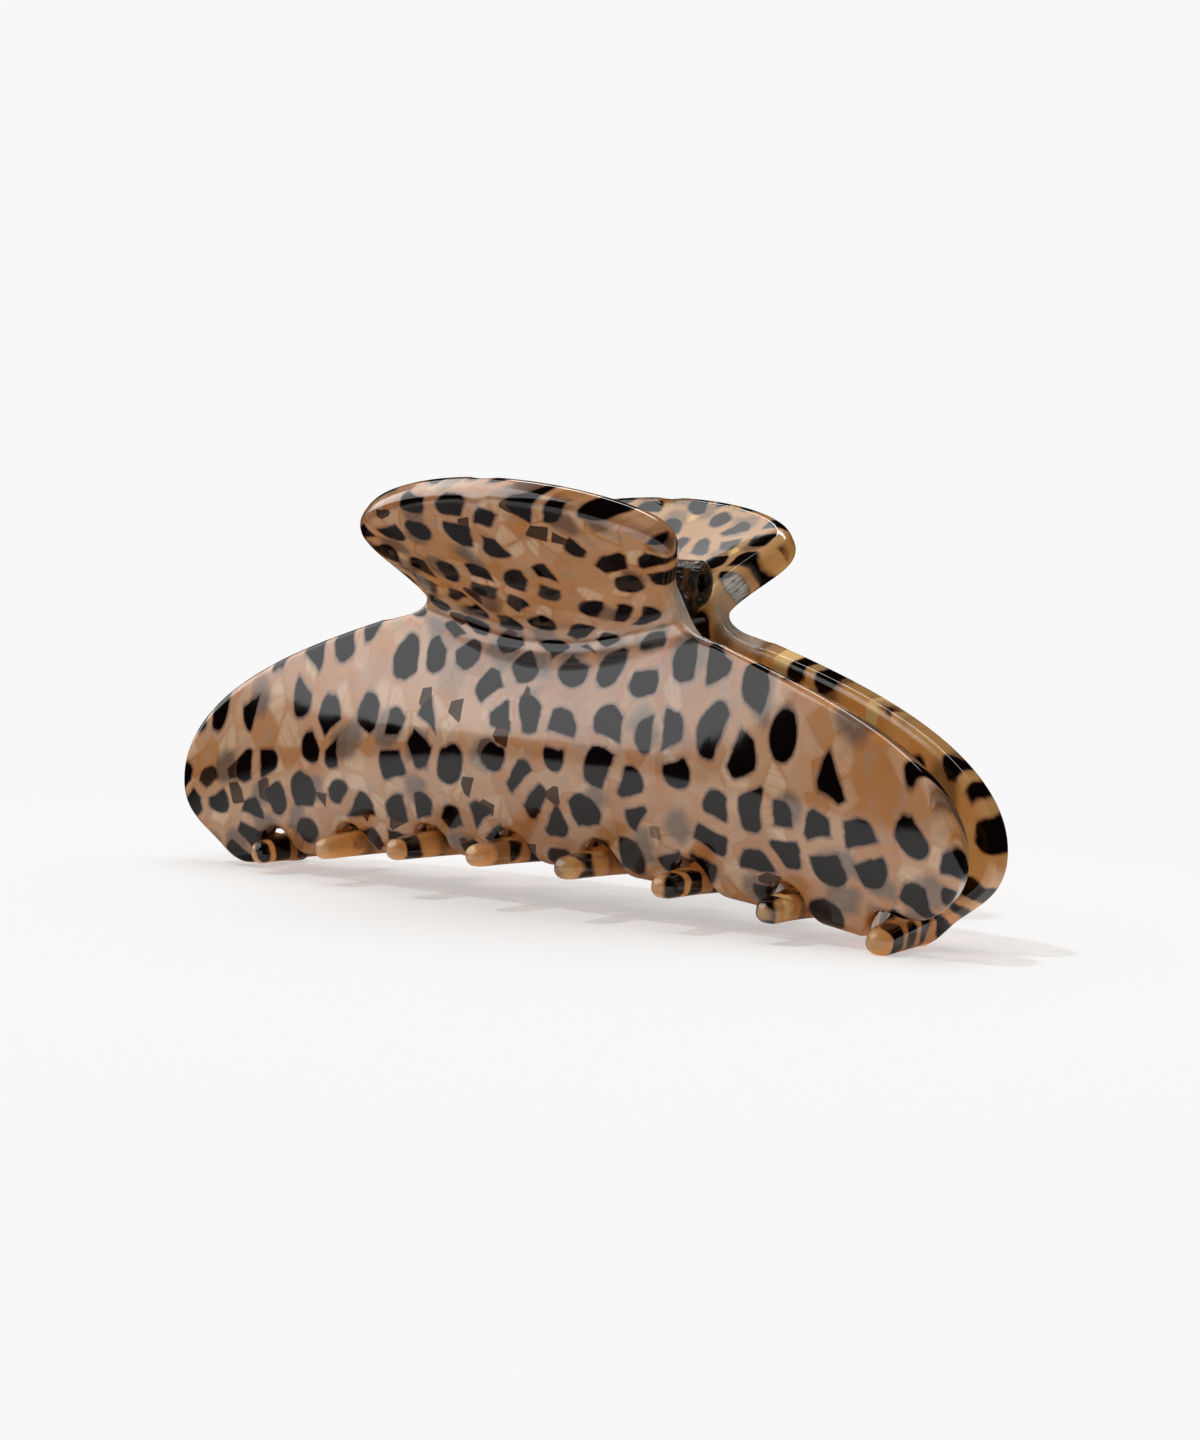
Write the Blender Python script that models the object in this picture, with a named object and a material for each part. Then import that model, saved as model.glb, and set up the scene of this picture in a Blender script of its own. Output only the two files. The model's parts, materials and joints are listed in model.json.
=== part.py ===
"""Claw clip for hair: two identical thermoformed acetate jaws on a pin, with bonded lugs and a torsion spring.

Frame: X along the jaws, Y across them (front jaw at -Y), Z up, the table under the tooth tips at Z = 0. Metres.
"""
import math

import bmesh
import bpy
from mathutils import Vector
from mathutils.geometry import delaunay_2d_cdt

MM = 0.001
# Jaw section at mid-length, along the sheet's middle surface from the waist outward; lengths in mm, angles in degrees.
HALF_LENGTH = 53.9
SHEET, TIP_SHEET = 4.0, 2.4  # sheet thickness, in the body and at the tooth tips
EDGE, WING_EDGE = 1.1, 1.5   # tumbled edges of the body and of the wings
WAIST_Y, WAIST_Z = 4.9, 30.7
WAIST_R = 4.5                # tight bend between wing and body
WING_LEAN, LIP_LEAN = 54.0, 42.0   # wing from the vertical, at its foot and at its lip
BODY_FLARE = 34.0            # upper body from the vertical
BULGE_R = 18.2               # long curve of the body
UNDERCUT = 34.0              # body's lower end from the vertical
CURL_R, CURL = 3.4, 88.0     # tight curl under the body into the teeth
BOW = 0.44                   # how far the ends close toward the middle plane
BELLY_DROP, TIP_DROP = 6.4, 1.0   # how much lower the ends' bellies and tips hang than the middle's
WAIST_RISE, RISE_WIDTH = 9.0, 26.5   # how far, and over what half-width, the waist line climbs from the middle
# Outline
WAIST_HALF = 17.2
WING_HALF, WING_HIGH = 20.9, 25.3
PITCH = 12.05               # tooth to tooth
TEETH = 8
FIRST_TOOTH = -3.75         # in pitches; the other jaw's teeth fall between these
TOOTH_ROOT, TOOTH_TIP = 8.0, 3.0
SLOT_TOP = 4.6              # height of the slots' round ends above the end of the curl
TOOTH_REACH, END_REACH = 18.2, 13.2   # from the end of the curl to the tip, at mid-length and at the ends
# Hinge
AXIS_Z = 38.5               # pin height, on the same datum as the waist line
PIN_R, PIN_HALF = 0.9, 16.4
LUG_R, LUG_W = 2.7, 3.8
LUG_OUT, LUG_IN = 15.1, 10.9   # centre distances of the outer and inner lugs from mid-length
GAP, GLUE = 0.3, 0.45       # running gap round the pin; glue line behind the lugs
WIRE_R, COIL_R, LOOPS, COIL_PITCH = 0.5, 1.95, 11, 1.25
LEG, LEG_LEAN = 6.6, 72.0

Q_FLARE = WAIST_R * math.radians(BODY_FLARE)
Q_WIDE = Q_FLARE + BULGE_R * math.radians(BODY_FLARE)
Q_BELLY = Q_WIDE + BULGE_R * math.radians(UNDERCUT)
Q_CURL = Q_BELLY + CURL_R * math.radians(CURL - UNDERCUT)


def smooth(t):
    t = min(1.0, max(0.0, t))
    return t * t * (3 - 2 * t)


def section(q):
    """Middle of the sheet at mid-length: (distance from the middle plane, height) at q mm below the waist line."""
    # Each run bends from one lean to the next over its length; leans are from straight down, outward positive.
    foot = WAIST_R * math.radians(WING_LEAN)
    lip = WING_HIGH - foot
    if q < 0:
        runs = ((foot, 0, WING_LEAN), (lip, WING_LEAN, LIP_LEAN))
        q, down = -q, -1
    else:
        runs = ((Q_FLARE, 0, BODY_FLARE), (Q_BELLY - Q_FLARE, BODY_FLARE, -UNDERCUT),
                (Q_CURL - Q_BELLY, -UNDERCUT, -CURL), (1e9, -CURL, -CURL))
        down = 1
    y, z = WAIST_Y, WAIST_Z
    for length, a, b in runs:
        s = min(q, length)
        a, turn = math.radians(a), math.radians(b - a) / length
        if abs(turn) < 1e-6:
            y, z = y + s * math.sin(a), z - down * s * math.cos(a)
        else:
            y += (math.cos(a) - math.cos(a + turn * s)) / turn
            z -= down * (math.sin(a + turn * s) - math.sin(a)) / turn
        q -= s
    return y, z


def bowed(x):
    return 1 - BOW * (x / HALF_LENGTH) ** 2


def middle(x, q):
    """Point on the front jaw's middle surface, in mm."""
    y, z = section(q)
    low = smooth(q / Q_WIDE)
    high = 1 - low if q > 0 else 1 - 0.8 * smooth(-q / WING_HIGH)
    rise = WAIST_RISE * (1 - math.exp(-(x / RISE_WIDTH) ** 2))
    drop = BELLY_DROP + TIP_DROP * min(1.0, max(0.0, q - Q_CURL) / TOOTH_REACH)
    return Vector((x, -y * bowed(x), z + rise * high - drop * (x / HALF_LENGTH) ** 2 * low))


def thickness(q):
    t = min(1.0, max(0.0, (q - Q_CURL) / TOOTH_REACH))
    return SHEET + (TIP_SHEET - SHEET) * t


def formed(x, q, h):
    """Point at h mm outside the middle surface."""
    e = 0.05
    dx = middle(x + e, q) - middle(x - e, q)
    dq = middle(x, q + e) - middle(x, q - e)
    return middle(x, q) + dq.cross(dx).normalized() * h


def q_at_height(x, z):
    lo, hi = -20.0, Q_CURL
    for _ in range(40):
        m = (lo + hi) / 2
        lo, hi = (m, hi) if middle(x, m).z > z else (lo, m)
    return lo


def bezier(p, n):
    """n points of a cubic, leaving out its first."""
    out = []
    for i in range(1, n + 1):
        t = i / n
        w = ((1 - t) ** 3, 3 * t * (1 - t) ** 2, 3 * t * t * (1 - t), t ** 3)
        out.append(tuple(sum(a * b[k] for a, b in zip(w, p)) for k in (0, 1)))
    return out


def arc(cx, cy, rx, ry, a0, a1, n):
    return [(cx + rx * math.cos(math.radians(a0 + (a1 - a0) * i / n)),
             cy + ry * math.sin(math.radians(a0 + (a1 - a0) * i / n))) for i in range(n + 1)]


def upper_edge(n=1):
    """From the middle of the wing's top round to the end of the body, at x > 0, in blank coordinates (x, q)."""
    w, top = WING_HALF, -WING_HIGH
    wide, neck = top + 10.5, (WAIST_HALF, -3.0)
    pts = [(0.0, top)] + bezier(((0, top), (0.47 * w, top), (w, top + 4.0), (w, wide)), 8 * n)
    pts += bezier((pts[-1], (w, wide + 4.5), (neck[0] + 0.2, neck[1] - 4.5), neck), 5 * n)
    body = bezier(((20.5, 32.6), (31.5, 28.9), (HALF_LENGTH, 22.5), (HALF_LENGTH, 10.0)), 12 * n)
    body = [(x, q_at_height(x, z)) for x, z in body]
    pts += bezier((neck, (WAIST_HALF - 0.1, neck[1] + 2.6), (WAIST_HALF + 1.6, body[0][1] - 1.2), body[0]), 4 * n)
    return pts + body[1:]


def teeth_edge(n=1):
    """Lower outline from the +X end to the -X end: wide lobe, teeth and round-topped slots, narrow end."""
    end_q = q_at_height(HALF_LENGTH, 10.0)
    root = Q_CURL - SLOT_TOP
    gap = (PITCH - TOOTH_ROOT) / 2
    xs = [(FIRST_TOOTH + k) * PITCH for k in range(TEETH)]

    def half_width(f):
        return (TOOTH_TIP + (TOOTH_ROOT - TOOTH_TIP) * (1 - f) ** 2.6) / 2
    last = xs[-1] + TOOTH_ROOT / 2
    pts = bezier(((HALF_LENGTH, end_q), (HALF_LENGTH, end_q + 4.0), (50.0, root + 1.6), (last + gap, root)), 6 * n)
    pts += arc(last + gap, root + gap, gap, gap, -90, -180, 3 * n)[1:]
    steps = [(i / (7 * n)) ** 1.4 for i in range(1, 7 * n)]
    for k in range(TEETH - 1, -1, -1):
        tip_r = TOOTH_TIP / 2
        reach = TOOTH_REACH + (END_REACH - TOOTH_REACH) * (xs[k] / HALF_LENGTH) ** 2
        side = Q_CURL + reach - tip_r / bowed(xs[k])
        base = root + gap
        pts += [(xs[k] + half_width(f), base + (side - base) * f) for f in steps]
        pts += arc(xs[k], side, tip_r, tip_r / bowed(xs[k]), 0, 180, 4 * n)
        if k:
            pts += [(xs[k] - half_width(f), base + (side - base) * f) for f in reversed(steps)]
            pts += arc(xs[k] - TOOTH_ROOT / 2 - gap, base, gap, gap, 0, -180, 6 * n)
        else:
            pts += bezier((pts[-1], (pts[-1][0] - 0.1, side - 4), (xs[k] - tip_r - 0.2, Q_CURL + 5),
                           (xs[k] - tip_r - 0.3, Q_CURL + 1.5)), 3 * n)
            pts += bezier((pts[-1], (pts[-1][0] - 0.3, root - 0.4), (-HALF_LENGTH, root - 1.5),
                           (-HALF_LENGTH, end_q)), 8 * n)
    return pts


def blank(n=1):
    """Closed outline of the flat blank, (x, q), from the wing's top through +X, the teeth and back."""
    right = upper_edge(n)
    left = [(-x, q) for x, q in reversed(right)]
    return right + teeth_edge(n)[:-1] + left[:-1]


def edge_radius(q):
    return EDGE + (WING_EDGE - EDGE) * smooth(-q / 5)


def inset(loop, k=1.0):
    """Loop moved inward by k edge radii."""
    out, n = [], len(loop)
    for i in range(n):
        a, b, c = (Vector(loop[(i + j) % n]) for j in (-1, 0, 1))
        e, f = (b - a).normalized(), (c - b).normalized()
        m = Vector((-(e.y + f.y), e.x + f.x)).normalized()
        stretch = (middle(*(b + m * 0.1)) - middle(*(b - m * 0.1))).length / 0.2
        out.append(tuple(b + m * (k * edge_radius(b.y) / stretch / max(0.6, m.dot(Vector((-f.y, f.x)))))))
    return out


def rows(step):
    """Heights of the rows of points across the blank: closer together where the sheet bends sharply."""
    foot = WAIST_R * math.radians(WING_LEAN)
    stops = (-WING_HIGH, -foot, Q_FLARE, Q_BELLY, Q_CURL, Q_CURL + TOOTH_REACH)
    parts = ((WING_HIGH - foot) / step, (foot + Q_FLARE) * 2 / step, (Q_BELLY - Q_FLARE) / step,
             (Q_CURL - Q_BELLY) * 4 / step, TOOTH_REACH / step)
    out = []
    for a, b, k in zip(stops, stops[1:], parts):
        k = max(1, round(k))
        out += [a + (b - a) * i / k for i in range(k)]
    return out


def fill(loop, step):
    """Triangles over a closed loop with rows of points inside; the loop's own points come first, in order."""
    n = len(loop)
    pts = [Vector(p) for p in loop]

    def inside(x, y):
        hit, near = False, 1e9
        for i in range(n):
            (ax, ay), (bx, by) = loop[i], loop[(i + 1) % n]
            if (ay > y) != (by > y) and x < ax + (y - ay) / (by - ay) * (bx - ax):
                hit = not hit
            t = ((x - ax) * (bx - ax) + (y - ay) * (by - ay)) / ((bx - ax) ** 2 + (by - ay) ** 2)
            t = max(0, min(1, t))
            near = min(near, math.hypot(ax + t * (bx - ax) - x, ay + t * (by - ay) - y))
        return hit and near > 0.35 * step
    columns = math.ceil(2 * HALF_LENGTH / step)
    for y in rows(step):
        for i in range(1, columns):
            x = HALF_LENGTH * (2 * i / columns - 1)
            if inside(x, y):
                pts.append(Vector((x, y)))
    _, _, faces, orig, _, _ = delaunay_2d_cdt(pts, [], [list(range(n))], 1, 1e-6)
    return pts, [tuple(min(orig[v]) for v in f) for f in faces]


def jaw_mesh(step=4.5):
    """Front jaw: the blank's two faces, joined by its tumbled edge."""
    loop = blank()
    n = len(loop)
    flat, tris = fill(inset(loop), step)
    verts, faces = [], []
    for side in (1, -1):
        base = len(verts)
        verts += [formed(x, q, side * thickness(q) / 2) for x, q in flat]
        faces += [tuple(base + i for i in t) for t in tris]
    rings = [0, len(verts), len(verts) + n, len(flat)]
    for side in (1, -1):
        verts += [formed(x, q, side * (thickness(q) / 2 - edge_radius(q))) for x, q in loop]
    for a, b in zip(rings, rings[1:]):
        faces += [(a + i, a + (i + 1) % n, b + (i + 1) % n, b + i) for i in range(n)]
    return verts, faces


def lug_mesh(x0):
    """Lug bonded to the front jaw's inner face: a round eye on the pin, its back following the sheet."""
    round_steps, back_steps, stations = 14, 5, 4
    outer, bore = [], []
    for k in range(stations):
        x = x0 + LUG_W * (k / (stations - 1) - 0.5)
        top, low = q_at_height(x, AXIS_Z + 0.2), q_at_height(x, AXIS_Z - 5.0)
        back = [formed(x, low + (top - low) * i / back_steps, -(SHEET / 2 + GLUE)) for i in range(back_steps + 1)]
        back = [(v.y, v.z - AXIS_Z) for v in back]
        a0 = math.atan2(back[-1][1], back[-1][0]) - 0.5
        a1 = math.atan2(back[0][1], back[0][0]) + 0.5
        angles = [a0 + (a1 - a0) * i / round_steps for i in range(round_steps + 1)]
        loop = [(LUG_R * math.cos(a), LUG_R * math.sin(a)) for a in angles] + back
        r = PIN_R + GAP
        outer += [(x, y, z + AXIS_Z) for y, z in loop]
        bore += [(x, r * y / math.hypot(y, z), r * z / math.hypot(y, z) + AXIS_Z) for y, z in loop]
    m, off = len(outer) // stations, len(outer)
    faces = []
    for i in range(m):
        j = (i + 1) % m
        for a in range(0, off - m, m):
            b = a + m
            faces += [(a + i, a + j, b + j, b + i), (off + a + i, off + b + i, off + b + j, off + a + j)]
        faces += [(a + i, a + j, off + a + j, off + a + i) for a in (0, off - m)]
    return outer + bore, faces


def sweep(path, radius, sides=6):
    """Round bar along a path, with flat ends."""
    verts, faces, n = [], [], len(path)
    across = None
    for i, p in enumerate(path):
        t = (path[min(i + 1, n - 1)] - path[max(i - 1, 0)]).normalized()
        across = t.orthogonal() if across is None else across - t * across.dot(t)
        across.normalize()
        side = t.cross(across)
        for k in range(sides):
            a = 2 * math.pi * k / sides
            verts.append(p + (across * math.cos(a) + side * math.sin(a)) * radius)
    for i in range(0, (n - 1) * sides, sides):
        faces += [(i + k, i + (k + 1) % sides, i + sides + (k + 1) % sides, i + sides + k) for k in range(sides)]
    return verts, faces + [tuple(range(sides)), tuple(range((n - 1) * sides, n * sides))]


def spring_path(steps=12):
    """Down the leg on the front wing, round the pin, and up the leg on the rear wing."""
    lean = math.radians(LEG_LEAN)
    a0, a1 = math.pi + lean, 2 * math.pi * LOOPS - lean
    n = round((a1 - a0) / (2 * math.pi) * steps)
    half = COIL_PITCH * (a1 - a0) / (4 * math.pi)
    coil = [Vector((half * (2 * i / n - 1), COIL_R * math.cos(a0 + (a1 - a0) * i / n),
                    COIL_R * math.sin(a0 + (a1 - a0) * i / n) + AXIS_Z)) for i in range(n + 1)]
    front = [coil[0] + Vector((0, -math.sin(lean), math.cos(lean))) * s for s in (LEG, LEG / 2)]
    rear = [coil[-1] + Vector((0, math.sin(lean), math.cos(lean))) * s for s in (LEG / 2, LEG)]
    return front + coil + rear


def material(name, colour, rough, metal):
    m = bpy.data.materials.new(name)
    m.use_nodes = True
    b = m.node_tree.nodes["Principled BSDF"]
    b.inputs["Base Color"].default_value = (*colour, 1)
    b.inputs["Roughness"].default_value = rough
    b.inputs["Metallic"].default_value = metal
    return m


def add(name, shape, mat, floor, turned=False):
    """Object with its origin on the pin axis; turned pieces are the front ones rotated half a turn about Z."""
    verts, faces = shape
    s = -1 if turned else 1
    mesh = bpy.data.meshes.new(name)
    mesh.from_pydata([(s * v[0] * MM, s * v[1] * MM, (v[2] - AXIS_Z) * MM) for v in verts], [], faces)
    bm = bmesh.new()
    bm.from_mesh(mesh)
    bmesh.ops.recalc_face_normals(bm, faces=bm.faces)
    bm.to_mesh(mesh)
    bm.free()
    mesh.materials.append(mat)
    obj = bpy.data.objects.new(name, mesh)
    obj.location = (0, 0, (AXIS_Z - floor) * MM)
    bpy.context.scene.collection.objects.link(obj)
    return obj


def build():
    for o in list(bpy.data.objects):
        bpy.data.objects.remove(o)
    acetate = material("acetate", (0.62, 0.36, 0.18), 0.12, 0.0)
    lug_acetate = material("lug_acetate", (0.05, 0.03, 0.02), 0.3, 0.0)
    steel = material("steel", (0.6, 0.6, 0.58), 0.25, 1.0)
    jaw = jaw_mesh()
    floor = min(v[2] for v in jaw[0])
    # The front jaw's outer lug is at +X and its inner lug at -X; turning the jaw interleaves the four.
    outer, inner = lug_mesh(LUG_OUT), lug_mesh(-LUG_IN)
    for side, turned in (("front", False), ("rear", True)):
        add(side + "_jaw", jaw, acetate, floor, turned)
        add(side + "_outer_lug", outer, lug_acetate, floor, turned)
        add(side + "_inner_lug", inner, lug_acetate, floor, turned)
    axis = [Vector((x, 0, AXIS_Z)) for x in (-PIN_HALF, PIN_HALF)]
    add("hinge_pin", sweep(axis, PIN_R, 16), steel, floor)
    add("torsion_spring", sweep(spring_path(), WIRE_R), steel, floor)


build()
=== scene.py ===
"""Claw clip in tortoiseshell acetate, standing closed on a white studio table.

Frame: X along the jaws, Y across them (front jaw at -Y), Z up, the table at Z = 0. Shapes are worked out in
millimetres, as in the CAD, and become metres when a mesh is made.
"""
import json
import math

import bmesh
import bpy
import numpy as np
from mathutils import Matrix, Vector
from mathutils.geometry import delaunay_2d_cdt

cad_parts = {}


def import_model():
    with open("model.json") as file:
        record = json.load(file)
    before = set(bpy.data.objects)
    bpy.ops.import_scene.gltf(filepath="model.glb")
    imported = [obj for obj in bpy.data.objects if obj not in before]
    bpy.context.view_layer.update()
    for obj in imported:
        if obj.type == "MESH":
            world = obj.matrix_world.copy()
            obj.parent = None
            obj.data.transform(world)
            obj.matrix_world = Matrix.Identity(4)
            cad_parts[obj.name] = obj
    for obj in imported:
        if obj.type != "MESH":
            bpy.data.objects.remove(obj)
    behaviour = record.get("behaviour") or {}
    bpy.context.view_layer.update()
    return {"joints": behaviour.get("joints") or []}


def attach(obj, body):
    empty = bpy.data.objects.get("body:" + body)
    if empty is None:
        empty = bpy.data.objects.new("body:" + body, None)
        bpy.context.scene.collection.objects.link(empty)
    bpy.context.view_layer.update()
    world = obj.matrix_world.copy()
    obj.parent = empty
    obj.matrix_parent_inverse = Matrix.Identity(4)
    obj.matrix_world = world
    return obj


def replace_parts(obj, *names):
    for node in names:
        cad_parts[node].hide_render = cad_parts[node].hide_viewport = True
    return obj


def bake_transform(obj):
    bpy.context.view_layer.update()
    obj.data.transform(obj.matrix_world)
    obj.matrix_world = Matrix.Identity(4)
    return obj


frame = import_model()

MM = 0.001
# Jaw section and outline: the CAD's own numbers, in mm and degrees.
HALF_LENGTH = 53.9
SHEET, TIP_SHEET = 4.0, 2.4           # sheet thickness, in the body and at the tooth tips
EDGE, WING_EDGE = 1.1, 1.5            # tumbled edges of the body and of the wings
WAIST_Y, WAIST_Z = 4.9, 30.7
WAIST_R = 4.5                         # tight bend between wing and body
WING_LEAN, LIP_LEAN = 54.0, 42.0      # wing from the vertical, at its foot and at its lip
BODY_FLARE = 34.0                     # upper body from the vertical
BULGE_R = 18.2                        # long curve of the body
UNDERCUT = 34.0                       # body's lower end from the vertical
CURL_R, CURL = 3.4, 88.0              # tight curl under the body into the teeth
BOW = 0.44                            # how far the ends close toward the middle plane
BELLY_DROP, TIP_DROP = 6.4, 1.0       # how much lower the ends' bellies and tips hang than the middle's
WAIST_RISE, RISE_WIDTH = 9.0, 26.5    # how far, and over what half-width, the waist line climbs
WAIST_HALF = 17.2
WING_HALF, WING_HIGH = 20.9, 25.3
SHOULDER, RIDGE = (20.5, 32.6), (31.5, 28.9)   # start and first handle of the body's upper edge, as (x, z)
END_HANDLE_Z, END_Z = 22.5, 10.0      # that edge's last handle and its end, both at the jaw's end
PITCH = 12.05                         # tooth to tooth
TEETH = 8
FIRST_TOOTH = -3.75                   # in pitches; the other jaw's teeth fall between these
TOOTH_ROOT, TOOTH_TIP = 8.0, 3.0
SLOT_TOP = 4.6                        # height of the slots' round ends above the end of the curl
TOOTH_REACH, END_REACH = 18.2, 13.2   # from the end of the curl to the tip, at mid-length and at the ends
# Hinge, in mm and degrees.
AXIS_Z = 38.5                         # pin height, on the same datum as the waist line
PIN_R, PIN_HALF = 0.9, 16.4
PIN_FIT = 0.12                        # bore radius beyond the pin's
LUG_R, LUG_W = 2.7, 3.8
LUG_OUT, LUG_IN = 15.1, 10.9          # centre distances of the outer and inner lugs from mid-length
LUG_SINK = 0.1                        # how far a lug's back is set into the jaw
WIRE_R, COIL_R, LOOPS, COIL_PITCH = 0.5, 1.95, 11, 1.25
LEG, LEG_LEAN = 6.6, 72.0
FLOOR = AXIS_Z - frame["joints"][0]["pos_m"][2] / MM   # the table's height on the waist line's datum
# How finely the shapes are cut.
FINE = 4                              # outline points per CAD outline point
STEP = 1.1                            # spacing of the sheet's points, in mm
ROUND = 5                             # rings on each half of a tumbled edge

FOOT = WAIST_R * math.radians(WING_LEAN)
Q_FLARE = WAIST_R * math.radians(BODY_FLARE)
Q_WIDE = Q_FLARE + BULGE_R * math.radians(BODY_FLARE)
Q_BELLY = Q_WIDE + BULGE_R * math.radians(UNDERCUT)
Q_CURL = Q_BELLY + CURL_R * math.radians(CURL - UNDERCUT)


# ---------------------------------------------------------------- shape of the sheet

def smooth(t):
    t = min(1.0, max(0.0, t))
    return t * t * (3 - 2 * t)


def section(q):
    """Middle of the sheet at mid-length, q mm below the waist line."""
    if q < 0:  # each run is its length, and the leans it bends from and to
        runs = ((FOOT, 0, WING_LEAN), (WING_HIGH - FOOT, WING_LEAN, LIP_LEAN))
        q, down = -q, -1
    else:
        runs = ((Q_FLARE, 0, BODY_FLARE), (Q_BELLY - Q_FLARE, BODY_FLARE, -UNDERCUT),
                (Q_CURL - Q_BELLY, -UNDERCUT, -CURL), (math.inf, -CURL, -CURL))
        down = 1
    y, z = WAIST_Y, WAIST_Z
    for length, a, b in runs:
        s = min(q, length)
        a, turn = math.radians(a), math.radians(b - a) / length  # nought on the straight teeth
        if abs(turn) < 1e-6:
            y, z = y + s * math.sin(a), z - down * s * math.cos(a)
        else:
            y += (math.cos(a) - math.cos(a + turn * s)) / turn
            z -= down * (math.sin(a + turn * s) - math.sin(a)) / turn
        q -= s
    return y, z


def bowed(x):
    return 1 - BOW * (x / HALF_LENGTH) ** 2


def middle(x, q):
    """Middle of the formed sheet for the blank's point (x, q), on the front jaw."""
    y, z = section(q)
    low = smooth(q / Q_WIDE)
    high = 1 - low if q > 0 else 1 - 0.8 * smooth(-q / WING_HIGH)
    rise = WAIST_RISE * (1 - math.exp(-(x / RISE_WIDTH) ** 2))
    drop = BELLY_DROP + TIP_DROP * min(1.0, max(0.0, q - Q_CURL) / TOOTH_REACH)
    return Vector((x, -y * bowed(x), z + rise * high - drop * (x / HALF_LENGTH) ** 2 * low))


def thickness(q):
    return SHEET + (TIP_SHEET - SHEET) * min(1.0, max(0.0, (q - Q_CURL) / TOOTH_REACH))


def outward(x, q, e=0.05):
    """Unit normal of the formed sheet, away from the clip's middle plane."""
    dx = middle(x + e, q) - middle(x - e, q)
    dq = middle(x, q + e) - middle(x, q - e)
    return dq.cross(dx).normalized()


def formed(x, q, h):
    """Point h mm off the sheet's middle."""
    return middle(x, q) + outward(x, q) * h


def q_at_height(x, z):
    """How far below the waist line the sheet's middle comes down to height z, at x."""
    lo, hi = -20.0, Q_CURL
    for _ in range(40):
        m = (lo + hi) / 2
        lo, hi = (m, hi) if middle(x, m).z > z else (lo, m)
    return lo


# ---------------------------------------------------------------- outline of the blank

def bezier(p, n):
    """n points along a cubic curve, leaving out its first."""
    out = []
    for i in range(1, n + 1):
        t = i / n
        w = ((1 - t) ** 3, 3 * t * (1 - t) ** 2, 3 * t * t * (1 - t), t ** 3)
        out.append(tuple(sum(a * b[k] for a, b in zip(w, p)) for k in (0, 1)))
    return out


def arc(cx, cy, rx, ry, a0, a1, n):
    return [(cx + rx * math.cos(math.radians(a0 + (a1 - a0) * i / n)),
             cy + ry * math.sin(math.radians(a0 + (a1 - a0) * i / n))) for i in range(n + 1)]


def upper_edge(n):
    """From the middle of the wing's top round to the end of the body at x > 0, as (x, q)."""
    w, top = WING_HALF, -WING_HIGH
    wide, neck = top + 10.5, (WAIST_HALF, -3.0)
    pts = [(0.0, top)] + bezier(((0, top), (0.47 * w, top), (w, top + 4.0), (w, wide)), 8 * n)
    pts += bezier((pts[-1], (w, wide + 4.5), (neck[0] + 0.2, neck[1] - 4.5), neck), 5 * n)
    body = bezier((SHOULDER, RIDGE, (HALF_LENGTH, END_HANDLE_Z), (HALF_LENGTH, END_Z)), 12 * n)
    body = [(x, q_at_height(x, z)) for x, z in body[n - 1:]]
    handle = (WAIST_HALF + 1.6, body[0][1] - 1.2)
    pts += bezier((neck, (WAIST_HALF - 0.1, neck[1] + 2.6), handle, body[0]), 4 * n)
    return pts + body[1:]


def teeth_edge(n):
    """Lower outline from the +X end to the -X end: wide lobe, teeth and round-topped slots, narrow end."""
    end_q = q_at_height(HALF_LENGTH, END_Z)
    root = Q_CURL - SLOT_TOP
    gap = (PITCH - TOOTH_ROOT) / 2
    xs = [(FIRST_TOOTH + k) * PITCH for k in range(TEETH)]

    def half_width(f):
        return (TOOTH_TIP + (TOOTH_ROOT - TOOTH_TIP) * (1 - f) ** 2.6) / 2

    lobe_x = xs[-1] + TOOTH_ROOT / 2 + gap
    lobe = ((HALF_LENGTH, end_q), (HALF_LENGTH, end_q + 4.0), (50.0, root + 1.6), (lobe_x, root))
    pts = bezier(lobe, 6 * n)
    pts += arc(lobe_x, root + gap, gap, gap, -90, -180, 3 * n)[1:]
    steps = [(i / (7 * n)) ** 1.4 for i in range(n, 7 * n)]  # along a flank, closest where it curves most
    tip_r, base = TOOTH_TIP / 2, root + gap
    for k in reversed(range(TEETH)):
        reach = TOOTH_REACH + (END_REACH - TOOTH_REACH) * (xs[k] / HALF_LENGTH) ** 2
        side = Q_CURL + reach - tip_r / bowed(xs[k])
        pts += [(xs[k] + half_width(f), base + (side - base) * f) for f in steps]
        pts += arc(xs[k], side, tip_r, tip_r / bowed(xs[k]), 0, 180, 4 * n)
        if k:
            pts += [(xs[k] - half_width(f), base + (side - base) * f) for f in reversed(steps)]
            pts += arc(xs[k] - TOOTH_ROOT / 2 - gap, base, gap, gap, 0, -180, 6 * n)
        else:
            x = xs[k] - tip_r
            last = (pts[-1], (pts[-1][0] - 0.1, side - 4), (x - 0.2, Q_CURL + 5), (x - 0.3, Q_CURL + 1.5))
            pts += bezier(last, 3 * n)
            end = (-HALF_LENGTH, root - 1.5), (-HALF_LENGTH, end_q)
            pts += bezier((pts[-1], (pts[-1][0] - 0.3, root - 0.4), *end), 8 * n)
    return pts


def blank(n):
    """Closed outline of the flat blank, counter-clockwise with x to the right and q up."""
    right = upper_edge(n)
    return right + teeth_edge(n)[:-1] + [(-x, q) for x, q in reversed(right)][:-1]


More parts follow.
